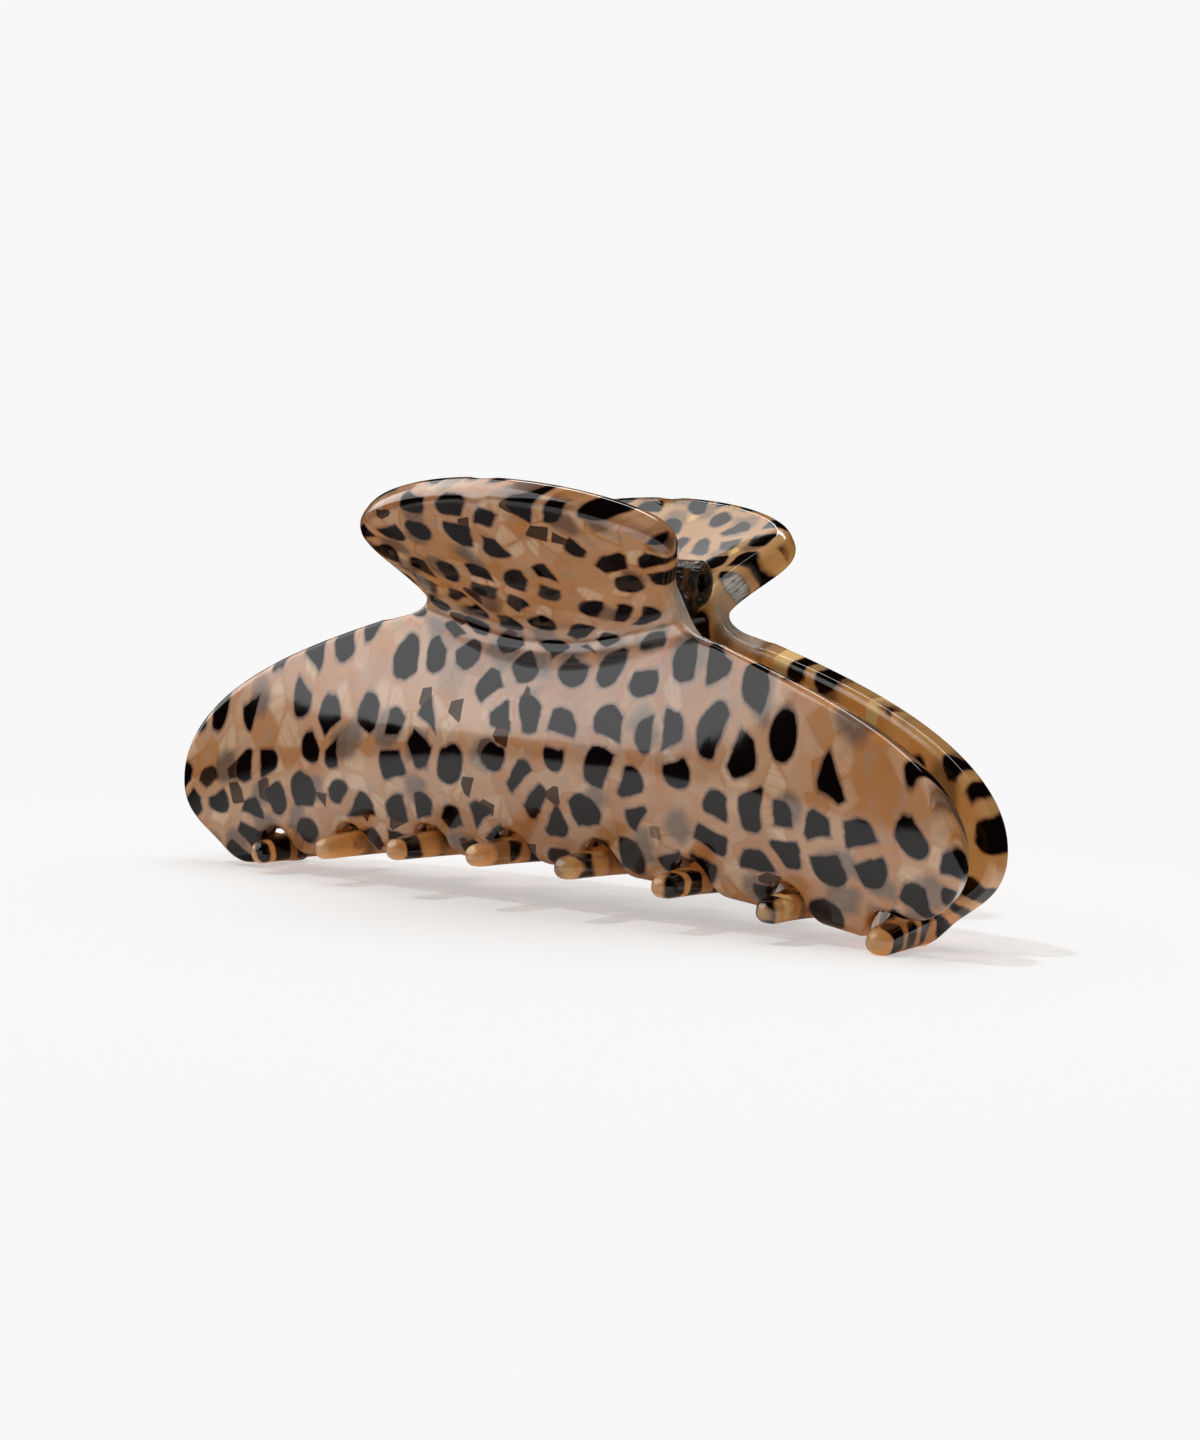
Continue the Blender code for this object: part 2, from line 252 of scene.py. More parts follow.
def inward(loop):
    """For each outline point: the blank's step that is 1 mm inward on the formed sheet, and the way out."""
    steps, sides, n = [], [], len(loop)
    for i in range(n):
        a, b, c = (Vector(loop[(i + j) % n]) for j in (-1, 0, 1))
        m = (b - a).normalized() + (c - b).normalized()
        m = Vector((-m.y, m.x)).normalized()
        # square to the edge on the formed sheet, through the metric of the forming
        dx = (middle(b.x + 0.05, b.y) - middle(b.x - 0.05, b.y)) * 10
        dq = (middle(b.x, b.y + 0.05) - middle(b.x, b.y - 0.05)) * 10
        xx, xq, qq = dx.dot(dx), dx.dot(dq), dq.dot(dq)
        step = Vector((qq * m.x - xq * m.y, xx * m.y - xq * m.x)) / (xx * qq - xq * xq)
        step /= math.sqrt(step.dot(m))
        steps.append(step)
        side = (middle(*c) - middle(*a)).cross(outward(*b)).normalized()
        outer = side.dot(middle(*b) - middle(*(b + step * 0.1))) > 0
        sides.append(side if outer else -side)
    return steps, sides


def rows(step):
    """Heights of the rows of points in the blank, closer together where the sheet bends tightly."""
    stops = (-WING_HIGH, -FOOT, Q_FLARE, Q_BELLY, Q_CURL, Q_CURL + TOOTH_REACH)
    parts = ((WING_HIGH - FOOT) / step, (FOOT + Q_FLARE) * 2 / step, (Q_BELLY - Q_FLARE) / step,
             (Q_CURL - Q_BELLY) * 3 / step, TOOTH_REACH / step)
    out = []
    for a, b, k in zip(stops, stops[1:], parts):
        k = max(1, round(k))
        out += [a + (b - a) * i / k for i in range(k)]
    return out


def fill(loop, step):
    """Triangles over a closed loop with rows of points inside it; the loop's own points come first."""
    n = len(loop)
    a = np.array(loop)
    b = np.roll(a, -1, 0)
    columns = math.ceil(2 * HALF_LENGTH / step)
    x = HALF_LENGTH * (2 * np.arange(1, columns) / columns - 1)
    pts = [Vector(p) for p in loop]
    for y in rows(step):
        cross = (a[:, 1] > y) != (b[:, 1] > y)
        at = a[cross, 0] + (y - a[cross, 1]) / (b[cross, 1] - a[cross, 1]) * (b[cross, 0] - a[cross, 0])
        hit = (x[:, None] < at[None, :]).sum(1) % 2 == 1
        near = np.hypot(a[None, :, 0] - x[:, None], a[None, :, 1] - y).min(1)
        pts += [Vector((v, y)) for v in x[hit & (near > 0.45 * step)]]
    _, _, faces, orig, _, _ = delaunay_2d_cdt(pts, [], [list(range(n))], 1, 1e-6)
    return pts, [tuple(min(orig[v]) for v in f) for f in faces]


# ---------------------------------------------------------------- meshes

def new_object(name, verts, faces, mat):
    mesh = bpy.data.meshes.new(name)
    mesh.from_pydata([(v[0] * MM, v[1] * MM, (v[2] - FLOOR) * MM) for v in verts], [], faces)
    mesh.materials.append(mat)
    mesh.polygons.foreach_set("use_smooth", [True] * len(mesh.polygons))
    obj = bpy.data.objects.new(name, mesh)
    bpy.context.scene.collection.objects.link(obj)
    return obj


def jaw_parts():
    """Vertices, faces, normals, sheet coordinates (x, q, h) and edge share of the front jaw.

    The edge share goes from 0 on the sheet's faces to 1 at the middle of its tumbled edges.
    """
    loop = blank(FINE)
    n = len(loop)
    steps, sides = inward(loop)
    radius = [EDGE + (WING_EDGE - EDGE) * smooth(-q / 5) for _, q in loop]

    def moved(k):
        return [tuple(Vector(p) + s * (k * r)) for p, s, r in zip(loop, steps, radius)]
    flat, tris = fill(moved(1.0), STEP)
    verts, faces, normals, sheet, edge = [], [], [], [], []
    starts = {}
    for side in (1, -1):
        starts[side] = len(verts)
        for x, q in flat:
            v = outward(x, q)
            verts.append(middle(x, q) + v * (side * thickness(q) / 2))
            normals.append(v * side)
            sheet.append((x, q, side * thickness(q) / 2))
            edge.append(0.0)
        base = starts[side]
        faces += [tuple(base + i for i in (t if side > 0 else t[::-1])) for t in tris]
    rings = [starts[1]]
    angles = [90 * (i + 1) / ROUND for i in range(ROUND)]
    for side, turns in ((1, angles), (-1, angles[::-1])):
        for t in turns:
            s, c = math.sin(math.radians(t)), math.cos(math.radians(t))
            rings.append(len(verts))
            for (x, q), r, out in zip(moved(1 - s), radius, sides):
                h = side * (thickness(q) / 2 - r * (1 - c))
                v = outward(x, q)
                verts.append(middle(x, q) + v * h)
                normals.append((v * (side * c) + out * s).normalized())
                sheet.append((x, q, h))
                edge.append(s)
    rings.append(starts[-1])
    for a, b in zip(rings, rings[1:]):
        faces += [(a + i, a + (i + 1) % n, b + (i + 1) % n, b + i) for i in range(n)]
    return verts, faces, normals, sheet, edge


def outward_faces(verts, faces, normals):
    """Every face wound to agree with its vertices' normals."""
    out = []
    for f in faces:
        a, b, c = (verts[i] for i in f[:3])
        n = (b - a).cross(c - a)
        if len(f) == 4:
            n += (c - a).cross(verts[f[3]] - a)
        out.append(f if n.dot(normals[f[0]] + normals[f[2]]) >= 0 else f[::-1])
    return out


def sawn_share(x, q, e):
    """How far an edge point is left as sawn: only on the neck's edges, which the tumbling doesn't reach."""
    return e ** 1.5 * smooth((q + 9) / 3) * smooth((6 - q) / 4) * (abs(x) < 22)


def add_jaw(name, parts, mat, turned):
    verts, faces, normals, sheet, edge = parts
    s = -1 if turned else 1
    obj = new_object(name, [(s * v[0], s * v[1], v[2]) for v in verts], faces, mat)
    mesh = obj.data
    mesh.normals_split_custom_set_from_vertices([(s * v.x, s * v.y, v.z) for v in normals])
    cut = (230, 170, 40) if turned else (0, 0, 0)  # each jaw is cut from its own place in the sheet
    place = mesh.attributes.new("sheet", "FLOAT_VECTOR", "POINT")
    place.data.foreach_set("vector", [c + o for p in sheet for c, o in zip(p, cut)])
    sawn = [sawn_share(x, q, e) for (x, q, _), e in zip(sheet, edge)]
    for label, values in (("edge", edge), ("sawn", sawn)):
        mesh.attributes.new(label, "FLOAT", "POINT").data.foreach_set("value", values)
    return obj


def lug_mesh(x0):
    """Lug whose round eye carries the pin and whose back is bonded to the front jaw's inner face."""
    eye_steps, back_steps, stations = 44, 16, 9
    outer, bore = [], []
    for k in range(stations):
        x = x0 + LUG_W * (k / (stations - 1) - 0.5)
        top, low = q_at_height(x, AXIS_Z + 0.2), q_at_height(x, AXIS_Z - 5.0)
        back = [low + (top - low) * i / back_steps for i in range(back_steps + 1)]
        back = [formed(x, q, LUG_SINK - SHEET / 2) for q in back]
        back = [(v.y, v.z - AXIS_Z) for v in back]
        a0 = math.atan2(back[-1][1], back[-1][0]) - 0.5
        a1 = math.atan2(back[0][1], back[0][0]) + 0.5
        angles = [a0 + (a1 - a0) * i / eye_steps for i in range(eye_steps + 1)]
        loop = [(LUG_R * math.cos(a), LUG_R * math.sin(a)) for a in angles] + back
        r = PIN_R + PIN_FIT
        outer += [(x, y, z + AXIS_Z) for y, z in loop]
        bore += [(x, r * y / math.hypot(y, z), r * z / math.hypot(y, z) + AXIS_Z) for y, z in loop]
    m, off = len(outer) // stations, len(outer)
    faces = []
    for i in range(m):
        j = (i + 1) % m
        for a in range(0, off - m, m):
            b = a + m
            faces += [(a + i, a + j, b + j, b + i), (off + a + i, off + b + i, off + b + j, off + a + j)]
        faces += [(a + i, a + j, off + a + j, off + a + i) for a in (0, off - m)]
    return outer + bore, faces


def sweep(path, radii, sides):
    """Round bar along a path, closed at both ends."""
    verts, faces, n, across = [], [], len(path), None
    for i, (p, radius) in enumerate(zip(path, radii)):
        t = (path[min(i + 1, n - 1)] - path[max(i - 1, 0)]).normalized()
        across = t.orthogonal() if across is None else across - t * across.dot(t)
        across.normalize()
        side = t.cross(across)
        for k in range(sides):
            a = 2 * math.pi * k / sides
            verts.append(p + (across * math.cos(a) + side * math.sin(a)) * radius)
    for i in range(0, (n - 1) * sides, sides):
        j = i + sides
        faces += [(i + k, i + (k + 1) % sides, j + (k + 1) % sides, j + k) for k in range(sides)]
    return verts, faces + [tuple(range(sides)), tuple(range((n - 1) * sides, n * sides))]


def spring_path(steps=40):
    """Wire's middle line: the front leg's end, the coil round the pin, the rear leg's end."""
    lean = math.radians(LEG_LEAN)
    a0, a1 = math.pi + lean, 2 * math.pi * LOOPS - lean
    n = round((a1 - a0) / (2 * math.pi) * steps)
    half = COIL_PITCH * (a1 - a0) / (4 * math.pi)
    coil = [Vector((half * (2 * i / n - 1), COIL_R * math.cos(a0 + (a1 - a0) * i / n),
                    COIL_R * math.sin(a0 + (a1 - a0) * i / n) + AXIS_Z)) for i in range(n + 1)]
    out = [LEG * (1 - i / 12) for i in range(12)]
    front = [coil[0] + Vector((0, -math.sin(lean), math.cos(lean))) * s for s in out]
    rear = [coil[-1] + Vector((0, math.sin(lean), math.cos(lean))) * s for s in reversed(out)]
    return front + coil + rear


def consistent(obj):
    """Turns every face of a closed mesh outward."""
    bm = bmesh.new()
    bm.from_mesh(obj.data)
    bmesh.ops.recalc_face_normals(bm, faces=bm.faces)
    bm.to_mesh(obj.data)
    bm.free()


# ---------------------------------------------------------------- material nodes

CHIP_PITCH = 4.75                          # distance between the black chips' middles, in mm
LEAN = (0.75, 0.50, 0.0)                   # how far the chips shift along the sheet per mm through it
AMBER = (0.50, 0.205, 0.042, 1)
TAN = (0.58, 0.330, 0.170, 1)
PEARL = (0.86, 0.70, 0.52, 1)
SMOKE = (0.40, 0.28, 0.19, 1)
# painted light: honey glow standing in for light through the sheet, on the inner face and the teeth
HONEY_PAINTED_GLOW = (0.95, 0.64, 0.27, 1)
# painted shade, multiplied over the wings' faces
WING_PAINTED_SHADE = (0.80, 0.76, 0.70, 1)
DEEP_CHIP = (0.060, 0.040, 0.034, 1)
BROWN_CHIP = (0.022, 0.007, 0.004, 1)
FRINGE = (0.110, 0.026, 0.010, 1)
BLACK_CHIP = (0.0026, 0.0011, 0.0009, 1)
SAW_MARKS = (0.66, 0.60, 0.53, 1)
LUG_BLACK = (0.004, 0.0022, 0.0018, 1)
LUG_BROWN = (0.085, 0.034, 0.012, 1)
LUG_SAW_MARKS = (0.60, 0.54, 0.47, 1)
NICKEL = (0.72, 0.71, 0.68, 1)
NICKEL_DULL = (0.50, 0.49, 0.46, 1)
THROUGH_TINT = (1.0, 0.90, 0.74, 1)        # light scattered through the sheet to its other side
SHADOW_TINT = (1.0, 0.72, 0.46, 1)         # light that reaches the table through the sheet


class Nodes:
    """Small helper to write a node tree as expressions; sockets and plain values mix freely."""

    def __init__(self, tree):
        self.tree = tree
        tree.nodes.clear()

    def add(self, kind, inputs=None, out=0, **props):
        n = self.tree.nodes.new("ShaderNode" + kind)
        for k, v in props.items():
            setattr(n, k, v)
        for k, v in (inputs or {}).items():
            if isinstance(v, bpy.types.NodeSocket):
                self.tree.links.new(v, n.inputs[k])
            else:
                n.inputs[k].default_value = v
        return n if out is None else n.outputs[out]

    def math(self, op, a, b=0.0, c=0.0, clamp=False):
        return self.add("Math", {0: a, 1: b, 2: c}, operation=op, use_clamp=clamp)

    def vec(self, op, a, b=(0, 0, 0)):
        key = 3 if op == "SCALE" else 1
        return self.add("VectorMath", {0: a, key: b}, operation=op)

    def ramp(self, v, lo, hi, a=0.0, b=1.0):
        return self.add("MapRange", {0: v, 1: lo, 2: hi, 3: a, 4: b}, interpolation_type="SMOOTHSTEP")

    def mix(self, f, a, b, blend="MIX"):
        return self.add("Mix", {0: f, 6: a, 7: b}, out=2, data_type="RGBA", blend_type=blend)

    def product(self, *factors):
        out = factors[0]
        for f in factors[1:]:
            out = self.math("MULTIPLY", out, f)
        return out

    def noise(self, p, scale, detail=2.0, rough=0.5, out=0):
        wave = {"Vector": p, "Scale": scale, "Detail": detail, "Roughness": rough}
        return self.add("TexNoise", wave, out=out)

    def wander(self, p, scale, detail):
        """Three unrelated noises about nought, to push places about."""
        return self.vec("SUBTRACT", self.noise(p, scale, detail, out="Color"), (0.5, 0.5, 0.5))

    def split(self, colour):
        n = self.add("SeparateColor", {0: colour}, out=None)
        return n.outputs[0], n.outputs[1], n.outputs[2]

    def cells(self, p, size, uneven=0.78):
        """Distance to the cell's seed, distance to its edge (both in cells) and its random colour."""
        where = {"Vector": self.vec("SCALE", p, 1 / size), "Scale": 1.0, "Randomness": uneven}
        seed = self.add("TexVoronoi", where, out=None, voronoi_dimensions="2D")
        edge = self.add("TexVoronoi", where, voronoi_dimensions="2D", feature="DISTANCE_TO_EDGE")
        return seed.outputs["Distance"], edge, self.split(seed.outputs["Color"])


def grey(v):
    return (v, v, v, 1)


def chip_field(n, p, size, gap, radius, seed):
    """How far inside its chip p is, with one rounded chip to a cell, and the cells' random values."""
    far, edge, rnd = n.cells(n.vec("ADD", p, seed), size)
    gap = n.math("MULTIPLY_ADD", rnd[1], 0.07, gap)
    radius = n.math("MULTIPLY_ADD", rnd[2], 0.16, radius)
    inside = n.math("SMOOTH_MIN", n.math("SUBTRACT", edge, gap), n.math("SUBTRACT", radius, far), 0.05)
    return inside, rnd


def wing_share(n, q):
    return n.ramp(q, -9.0, -13.0)


def inner_share(n, q, h):
    """The sheet's inner face, below the neck."""
    return n.math("MULTIPLY", n.ramp(h, -0.6, -1.6), n.ramp(q, -4.0, 2.0))


def flakes(n, p, soft):
    """Angular flakes, each its own tone of amber, some pearly with fine fibres, under clouds of smoke."""
    place = n.vec("ADD", n.vec("ADD", p, soft), (7.7, 40.1, 0.0))
    _, edge, (tone, pearly, turned) = n.cells(place, 2.7, 1.0)
    tone = n.math("ADD", n.math("MULTIPLY", tone, 0.5), n.math("MULTIPLY", n.noise(p, 0.20, 3.0), 0.9))
    base = n.mix(n.ramp(tone, 0.42, 0.95), AMBER, TAN)
    turn = n.math("MULTIPLY", turned, 6.28)
    along = n.add("VectorRotate", {"Vector": p, "Angle": turn}, rotation_type="Z_AXIS")
    fibre = n.noise(n.vec("MULTIPLY", along, (0.12, 2.6, 1.0)), 1.0)
    fibre = n.ramp(fibre, 0.20, 0.75, 0.35, 1.0)
    pearl = n.product(n.ramp(pearly, 0.55, 0.95), fibre, n.ramp(edge, 0.0, 0.20))
    base = n.mix(n.math("MULTIPLY", pearl, 0.62), base, PEARL)
    return n.mix(n.math("MULTIPLY", n.ramp(n.noise(p, 0.55), 0.50, 0.72), 0.45), base, SMOKE)


def acetate_colour(n, p, edge_share):
    """Colour of the block at p, in mm in the flat sheet, and the share of it that is dark chips."""
    _, q, h = n.split(p)
    wing, inner = wing_share(n, q), inner_share(n, q, h)
    tooth = n.ramp(q, Q_CURL + 0.5, Q_CURL + 4.0)
    # the chips are bars that lean as they cross the sheet, so its two faces and its edges show different
    # cuts of them; the narrow teeth show less of the lean
    lean = n.math("MULTIPLY", h, n.math("MULTIPLY_ADD", tooth, -0.85, 1.0))
    p = n.vec("ADD", p, n.vec("SCALE", LEAN, lean))
    soft = n.wander(p, 0.16, 1.0)
    chip_p = n.vec("ADD", p, n.vec("SCALE", soft, 2.0))
    chip_p = n.vec("ADD", chip_p, n.vec("SCALE", n.wander(p, 0.9, 2.0), 0.45))
    base = flakes(n, p, soft)

    # chips buried in the sheet, seen blurred through it
    inside, rnd = chip_field(n, chip_p, 5.0, 0.05, 0.34, (31.3, 17.7, 0.0))
    deep = n.math("MULTIPLY", n.ramp(inside, -0.10, 0.16), n.ramp(rnd[0], 0.52, 0.56))
    base = n.mix(n.math("MULTIPLY", deep, 0.72), base, DEEP_CHIP)

    # a few small brown chips, mostly three-cornered
    _, edge, rnd = n.cells(n.vec("ADD", p, (5.3, 71.9, 0.0)), 2.3, 1.0)
    small = n.math("MULTIPLY", n.ramp(edge, 0.085, 0.125), n.ramp(rnd[0], 0.93, 0.94))
    base = n.mix(n.math("MULTIPLY", small, 0.93), base, BROWN_CHIP)

    # black chips at the face, a little larger on the wings, with a red-brown fringe where they thin out
    radius = n.math("MULTIPLY_ADD", wing, 0.035, 0.33)
    inside, rnd = chip_field(n, chip_p, CHIP_PITCH, 0.125, radius, (0, 0, 0))
    there = n.ramp(rnd[0], 0.08, 0.09)
    fringe = n.math("MULTIPLY", n.ramp(inside, -0.085, 0.02), there)
    black = n.math("MULTIPLY", n.ramp(inside, -0.01, 0.035), there)
    # painted shade: the wings' faces are darkened as if they lay in shade
    painted_wing_shade = n.product(wing, n.ramp(n.math("ABSOLUTE", h), 0.5, 1.6), 0.9)
    base = n.mix(painted_wing_shade, base, WING_PAINTED_SHADE, "MULTIPLY")
    base = n.mix(n.math("MULTIPLY", fringe, 0.88), base, FRINGE)

    # painted light: the inner face and the teeth get a lighter honey colour between the chips, painted in
    # for light that comes through the sheet
    inner = n.math("MULTIPLY", inner, n.ramp(edge_share, 0.1, 0.8, 1.0, 0.75))
    painted_glow = n.math("MAXIMUM", inner, n.math("MULTIPLY", tooth, 1.12))
    clear = n.math("MULTIPLY_ADD", n.math("MAXIMUM", fringe, n.math("MULTIPLY", deep, 0.7)), -1.0, 1.0)
    base = n.mix(n.product(painted_glow, 0.66, clear), base, HONEY_PAINTED_GLOW)
    return n.mix(black, base, BLACK_CHIP), n.math("MAXIMUM", black, small)


def acetate():
    """Polished tortoiseshell acetate, in sheet coordinates."""
    mat = bpy.data.materials.new("acetate")
    mat.use_nodes = True
    n = Nodes(mat.node_tree)
    p = n.add("Attribute", out="Vector", attribute_name="sheet")
    edge = n.add("Attribute", out="Fac", attribute_name="edge")
    sawn = n.add("Attribute", out="Fac", attribute_name="sawn")
    _, q, h = n.split(p)
    colour, black = acetate_colour(n, p, edge)

    # sawn neck edges: whitish scratches across the sheet
    lines = n.noise(n.vec("MULTIPLY", p, (0.6, 0.5, 4.0)), 1.0, 4.0, 0.7)
    frost = n.math("MULTIPLY", sawn, n.ramp(lines, 0.30, 0.56), clamp=True)
    colour = n.mix(n.math("MULTIPLY", frost, 0.85), colour, SAW_MARKS)
    rough = n.math("MULTIPLY_ADD", n.noise(p, 0.35, 3.0), 0.05, 0.045)
    rough = n.math("MULTIPLY_ADD", sawn, 0.35, rough)
    height = n.math("MULTIPLY_ADD", n.noise(p, 1.6, 3.0, 0.6), 0.02, n.noise(p, 0.10))
    height = n.math("MULTIPLY_ADD", frost, 0.25, height)
    bump = n.add("Bump", {"Strength": 0.5, "Distance": 0.00035, "Height": height})

    # the wings' outer faces hang over and shine less; the clear acetate has a pearly depth, the chips don't
    overhang = n.product(wing_share(n, q), n.ramp(h, 1.0, 1.8), n.ramp(edge, 0.35, 0.0))
    clear = n.math("SUBTRACT", 1.0, black)
    body = n.add("BsdfPrincipled", {
        "Base Color": colour, "Roughness": rough, "IOR": 1.49, "Normal": bump,
        "Specular IOR Level": n.math("MULTIPLY_ADD", overhang, -0.42, 0.5),
        "Subsurface Weight": n.math("MULTIPLY", clear, 0.55),
        "Subsurface Radius": (1.0, 0.42, 0.16), "Subsurface Scale": 0.0022,
        "Coat Weight": n.product(clear, n.math("MULTIPLY_ADD", overhang, -0.8, 1.0), 0.8),
        "Coat Roughness": 0.27, "Coat IOR": 2.1, "Coat Tint": (1.0, 0.97, 0.92, 1)})

    # light from the other side comes through, most of all on the inner face and in the teeth
    tinted = n.mix(1.0, colour, THROUGH_TINT, "MULTIPLY")
    lit_through = n.add("BsdfTranslucent", {"Color": tinted, "Normal": bump})
    share = n.math("MULTIPLY_ADD", inner_share(n, q, h), 0.5, 0.2)
    share = n.math("MAXIMUM", share, n.ramp(q, Q_CURL + 1.5, Q_CURL + 5.0, 0.22, 0.62))
    share = n.math("MULTIPLY", share, n.math("MULTIPLY_ADD", black, -0.93, 1.0))
    body = n.add("MixShader", {0: share, 1: body, 2: lit_through})
    polish = n.add("BsdfGlossy", {"Color": grey(1.0), "Roughness": 0.05, "Normal": bump})
    grazing = n.add("Fresnel", {"IOR": 1.49, "Normal": bump})
    body = n.add("MixShader", {0: n.math("MULTIPLY", grazing, share), 1: body, 2: polish})

    # and some reaches the table, which warms the clip's shadow
    glow = n.add("BsdfTransparent", {"Color": SHADOW_TINT})
    reaches = n.math("SUBTRACT", 0.72, n.math("MULTIPLY", black, 0.62))
    reaches = n.math("MULTIPLY", n.add("LightPath", out="Is Shadow Ray"), reaches)
    n.add("OutputMaterial", {"Surface": n.add("MixShader", {0: reaches, 1: body, 2: glow})}, out=None)
    return mat


def lug_acetate():
    """Dark acetate offcuts: glossy where cement has wetted them, whitish saw marks elsewhere."""
    mat = bpy.data.materials.new("lug_acetate")
    mat.use_nodes = True
    n = Nodes(mat.node_tree)
    p = n.vec("SCALE", n.add("TexCoord", out="Object"), 1 / MM)
    colour = n.mix(n.ramp(n.noise(p, 0.35, 1.0), 0.50, 0.66), LUG_BLACK, LUG_BROWN)
    lines = n.noise(n.vec("MULTIPLY", p, (1.2, 0.5, 3.0)), 1.0, 4.0, 0.7)
    frost = n.math("MULTIPLY", n.ramp(lines, 0.52, 0.70), n.ramp(n.noise(p, 0.30), 0.46, 0.60))
    colour = n.mix(n.math("MULTIPLY", frost, 0.75), colour, LUG_SAW_MARKS)
    rough = n.math("MULTIPLY_ADD", frost, 0.4, 0.09)
    bump = n.add("Bump", {"Strength": 0.6, "Distance": 0.0003, "Height": lines})
    body = n.add("BsdfPrincipled", {"Base Color": colour, "Roughness": rough, "IOR": 1.49, "Normal": bump})
    n.add("OutputMaterial", {"Surface": body}, out=None)
    return mat


def steel():
    """Nickel-plated wire: drawn along its length, slightly uneven."""
    mat = bpy.data.materials.new("steel")
    mat.use_nodes = True
    n = Nodes(mat.node_tree)
    p = n.vec("SCALE", n.add("TexCoord", out="Object"), 1 / MM)
    spots = n.noise(p, 1.1, 3.0)
    colour = n.mix(spots, NICKEL_DULL, NICKEL)
    lines = n.noise(n.vec("MULTIPLY", p, (2.0, 9.0, 9.0)), 1.0, 3.0)
    bump = n.add("Bump", {"Strength": 0.25, "Distance": 0.00005, "Height": lines})
    body = n.add("BsdfPrincipled", {"Base Color": colour, "Metallic": 1.0, "Normal": bump,
                                    "Roughness": n.math("MULTIPLY_ADD", spots, 0.16, 0.16)})
    n.add("OutputMaterial", {"Surface": body}, out=None)
    return mat


# ---------------------------------------------------------------- pieces

def build_clip():
    """Every visible piece in place of its CAD node; the jaws, lugs and pin ride their bodies, the spring
    rides neither.
    """
    shell, dark, metal = acetate(), lug_acetate(), steel()
    parts = jaw_parts()
    parts = (parts[0], outward_faces(*parts[:3]), *parts[2:])
    for body, turned in (("front", False), ("rear", True)):
        jaw = add_jaw(body + "_jaw_sheet", parts, shell, turned)
        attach(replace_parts(jaw, body + "_jaw"), body)
        s = -1 if turned else 1
        for which, x0 in (("outer", LUG_OUT), ("inner", -LUG_IN)):
            verts, faces = lug_mesh(x0)
            verts = [(s * x, s * y, z) for x, y, z in verts]
            lug = new_object(f"{body}_{which}_lug_block", verts, faces, dark)
            consistent(lug)
            soft = lug.modifiers.new("eased_edges", "BEVEL")
            soft.width, soft.segments, soft.limit_method = 0.28 * MM, 3, "ANGLE"
            soft.angle_limit = math.radians(50)
            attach(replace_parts(lug, f"{body}_{which}_lug"), body)
    ease = ((0.0, 0.72), (0.15, 0.93), (0.4, 1.0))  # the pin's rounded end: mm along, share of its radius
    xs = [a - PIN_HALF for a, _ in ease] + [PIN_HALF - a for a, _ in reversed(ease)]
    radii = [PIN_R * k for _, k in ease + ease[::-1]]
    pin = new_object("hinge_pin_rod", *sweep([Vector((x, 0, AXIS_Z)) for x in xs], radii, 40), metal)
    consistent(pin)
    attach(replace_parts(pin, "hinge_pin"), "rear")
    path = spring_path()
    spring = new_object("torsion_spring_wire", *sweep(path, [WIRE_R] * len(path), 14), metal)
    consistent(spring)
    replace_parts(spring, "torsion_spring")
    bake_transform(spring)


# ---------------------------------------------------------------- studio

BACKDROP = 0.939
ROOM_FILL, ROOM_SHINE = 0.40, 0.004        # how bright the room is as fill, and in reflections
TABLE_HALF = 2.5
CARD = (0.035, -0.075, 0.0)                # middle of the white card on the table


def floor():
    """White table that fades into the white background away from the clip."""
    mat = bpy.data.materials.new("table")
    mat.use_nodes = True
    n = Nodes(mat.node_tree)
    p = n.add("TexCoord", out="Object")
    grain = n.noise(n.vec("SCALE", p, 1 / MM), 0.8, 4.0, 0.7)
    white = n.mix(grain, grey(0.80), grey(0.84))
    bump = n.add("Bump", {"Strength": 0.1, "Distance": 0.0002, "Height": grain})
    lit = n.add("BsdfPrincipled", {
        "Base Color": white, "Roughness": 0.75, "Specular IOR Level": 0.1, "Normal": bump})
    path = n.add("LightPath", out=None)

    # beyond the card, the acetate reflects a dark room
    card = n.add("VectorMath", {0: n.vec("SUBTRACT", p, CARD)}, out="Value", operation="LENGTH")
    dim = n.math("MULTIPLY", n.ramp(card, 0.095, 0.135), path.outputs["Is Glossy Ray"])
    lit = n.add("MixShader", {0: dim, 1: lit, 2: n.add("BsdfDiffuse", {"Color": grey(0.01)})})

    away = n.add("VectorMath", {0: p}, out="Value", operation="LENGTH")
    fade = n.math("MULTIPLY", n.ramp(away, 0.075, 0.14, 0.47, 1.0), path.outputs["Is Camera Ray"])
    far = n.add("Emission", {"Color": grey(BACKDROP), "Strength": 1.0})
    n.add("OutputMaterial", {"Surface": n.add("MixShader", {0: fade, 1: lit, 2: far})}, out=None)
    s = TABLE_HALF
    mesh = bpy.data.meshes.new("table")
    mesh.from_pydata([(-s, -s, 0), (s, -s, 0), (s, s, 0), (-s, s, 0)], [], [(0, 1, 2, 3)])
    mesh.materials.append(mat)
    obj = bpy.data.objects.new("table", mesh)
    bpy.context.scene.collection.objects.link(obj)


def world():
    """Even white behind the clip; a dimmer room for reflections and fill."""
    w = bpy.data.worlds.new("studio")
    w.use_nodes = True
    bpy.context.scene.world = w
    n = Nodes(w.node_tree)
    path = n.add("LightPath", out=None)
    level = n.math("MULTIPLY_ADD", path.outputs["Is Glossy Ray"], ROOM_SHINE - ROOM_FILL, ROOM_FILL)
    colour = n.mix(path.outputs["Is Camera Ray"], level, grey(BACKDROP))
    n.add("OutputWorld", {"Surface": n.add("Background", {"Color": colour, "Strength": 1.0})}, out=None)


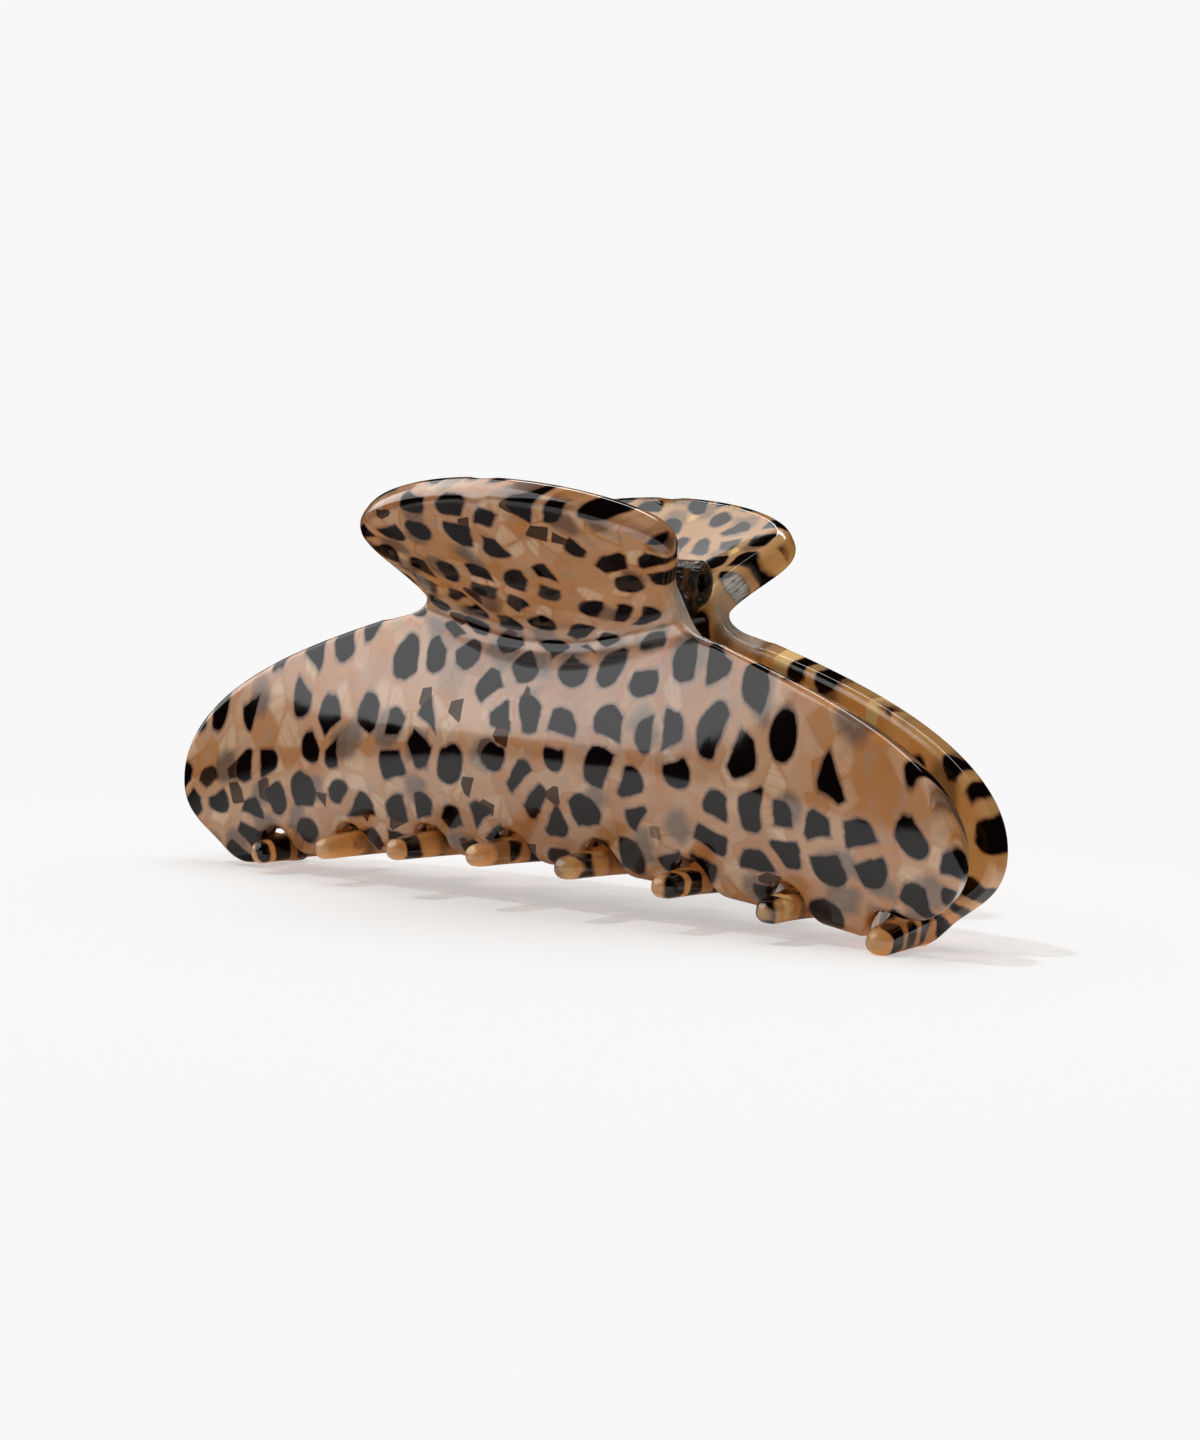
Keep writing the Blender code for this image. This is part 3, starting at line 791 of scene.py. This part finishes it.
def way(azimuth, elevation):
    """Unit vector toward a light; azimuth is from -Y towards -X, in degrees."""
    a, e = math.radians(azimuth), math.radians(elevation)
    return Vector((-math.sin(a) * math.cos(e), -math.cos(a) * math.cos(e), math.sin(e)))


def add_light(light, towards, place):
    obj = bpy.data.objects.new(light.name, light)
    obj.location = place
    obj.rotation_euler = towards.to_track_quat("Z", "Y").to_euler()
    bpy.context.scene.collection.objects.link(obj)
    return obj


def softbox(name, azimuth, elevation, distance, width, height, radiance, seen=True, lights=True):
    """Rectangular light aimed at the clip's middle, in metres.

    seen: it shows in reflections; lights: it lights the matt parts of the scene.
    """
    light = bpy.data.lights.new(name, "AREA")
    light.shape, light.size, light.size_y = "RECTANGLE", width, height
    light.energy = radiance * math.pi * width * height
    at = way(azimuth, elevation) * distance
    obj = add_light(light, at, at + Vector((0, 0, 25 * MM)))
    obj.visible_glossy, obj.visible_diffuse = seen, lights


def key_light(azimuth, elevation, strength, angle):
    """Distant lamp that shapes the table shadow; it's kept out of reflections."""
    light = bpy.data.lights.new("key", "SUN")
    light.energy, light.angle = strength, math.radians(angle)
    light.color = (1.0, 0.97, 0.93)
    add_light(light, way(azimuth, elevation), (0, 0, 0)).visible_glossy = False


def lights():
    # only reflected: the broad veil over the front jaw
    softbox("left_reflection", azimuth=58.5, elevation=37, distance=0.7, width=1.27, height=0.915,
            radiance=2.2, lights=False)
    # what lights the clip and the table from above
    softbox("top_softbox", azimuth=180, elevation=82, distance=0.9, width=0.7, height=0.7,
            radiance=2.95, seen=False)
    # only reflected: the bright line along the wing's lip
    softbox("top_strip", azimuth=176, elevation=62, distance=0.9, width=0.9, height=0.10,
            radiance=9.0, lights=False)
    key_light(azimuth=46, elevation=57, strength=1.35, angle=3.0)


def camera():
    """Low three-quarter view from the front right, a few degrees above the table."""
    yaw, pitch, roll = math.radians(31.95), math.radians(2.55), math.radians(3.08)
    distance = 306.31  # from a point 25 mm up on the clip's own axis
    right = Vector((math.cos(yaw), math.sin(yaw), 0))
    back = Vector((math.sin(yaw) * math.cos(pitch), -math.cos(yaw) * math.cos(pitch), math.sin(pitch)))
    up = back.cross(right)
    cam = bpy.data.cameras.new("camera")
    cam.sensor_width, cam.sensor_fit, cam.clip_start = 36, "HORIZONTAL", 0.01
    cam.lens = 77.01
    cam.shift_x, cam.shift_y = 0.02341, -0.02488
    obj = bpy.data.objects.new("camera", cam)
    m = Matrix.Identity(4)
    m.col[0][:3] = right * math.cos(roll) + up * math.sin(roll)
    m.col[1][:3] = up * math.cos(roll) - right * math.sin(roll)
    m.col[2][:3] = back
    m.col[3][:3] = (Vector((0, 0, 25 - FLOOR)) + back * distance) * MM
    obj.matrix_world = m
    bpy.context.scene.collection.objects.link(obj)
    bpy.context.scene.camera = obj


build_clip()
floor()
world()
lights()
camera()
bpy.context.scene.view_settings.view_transform = "Standard"
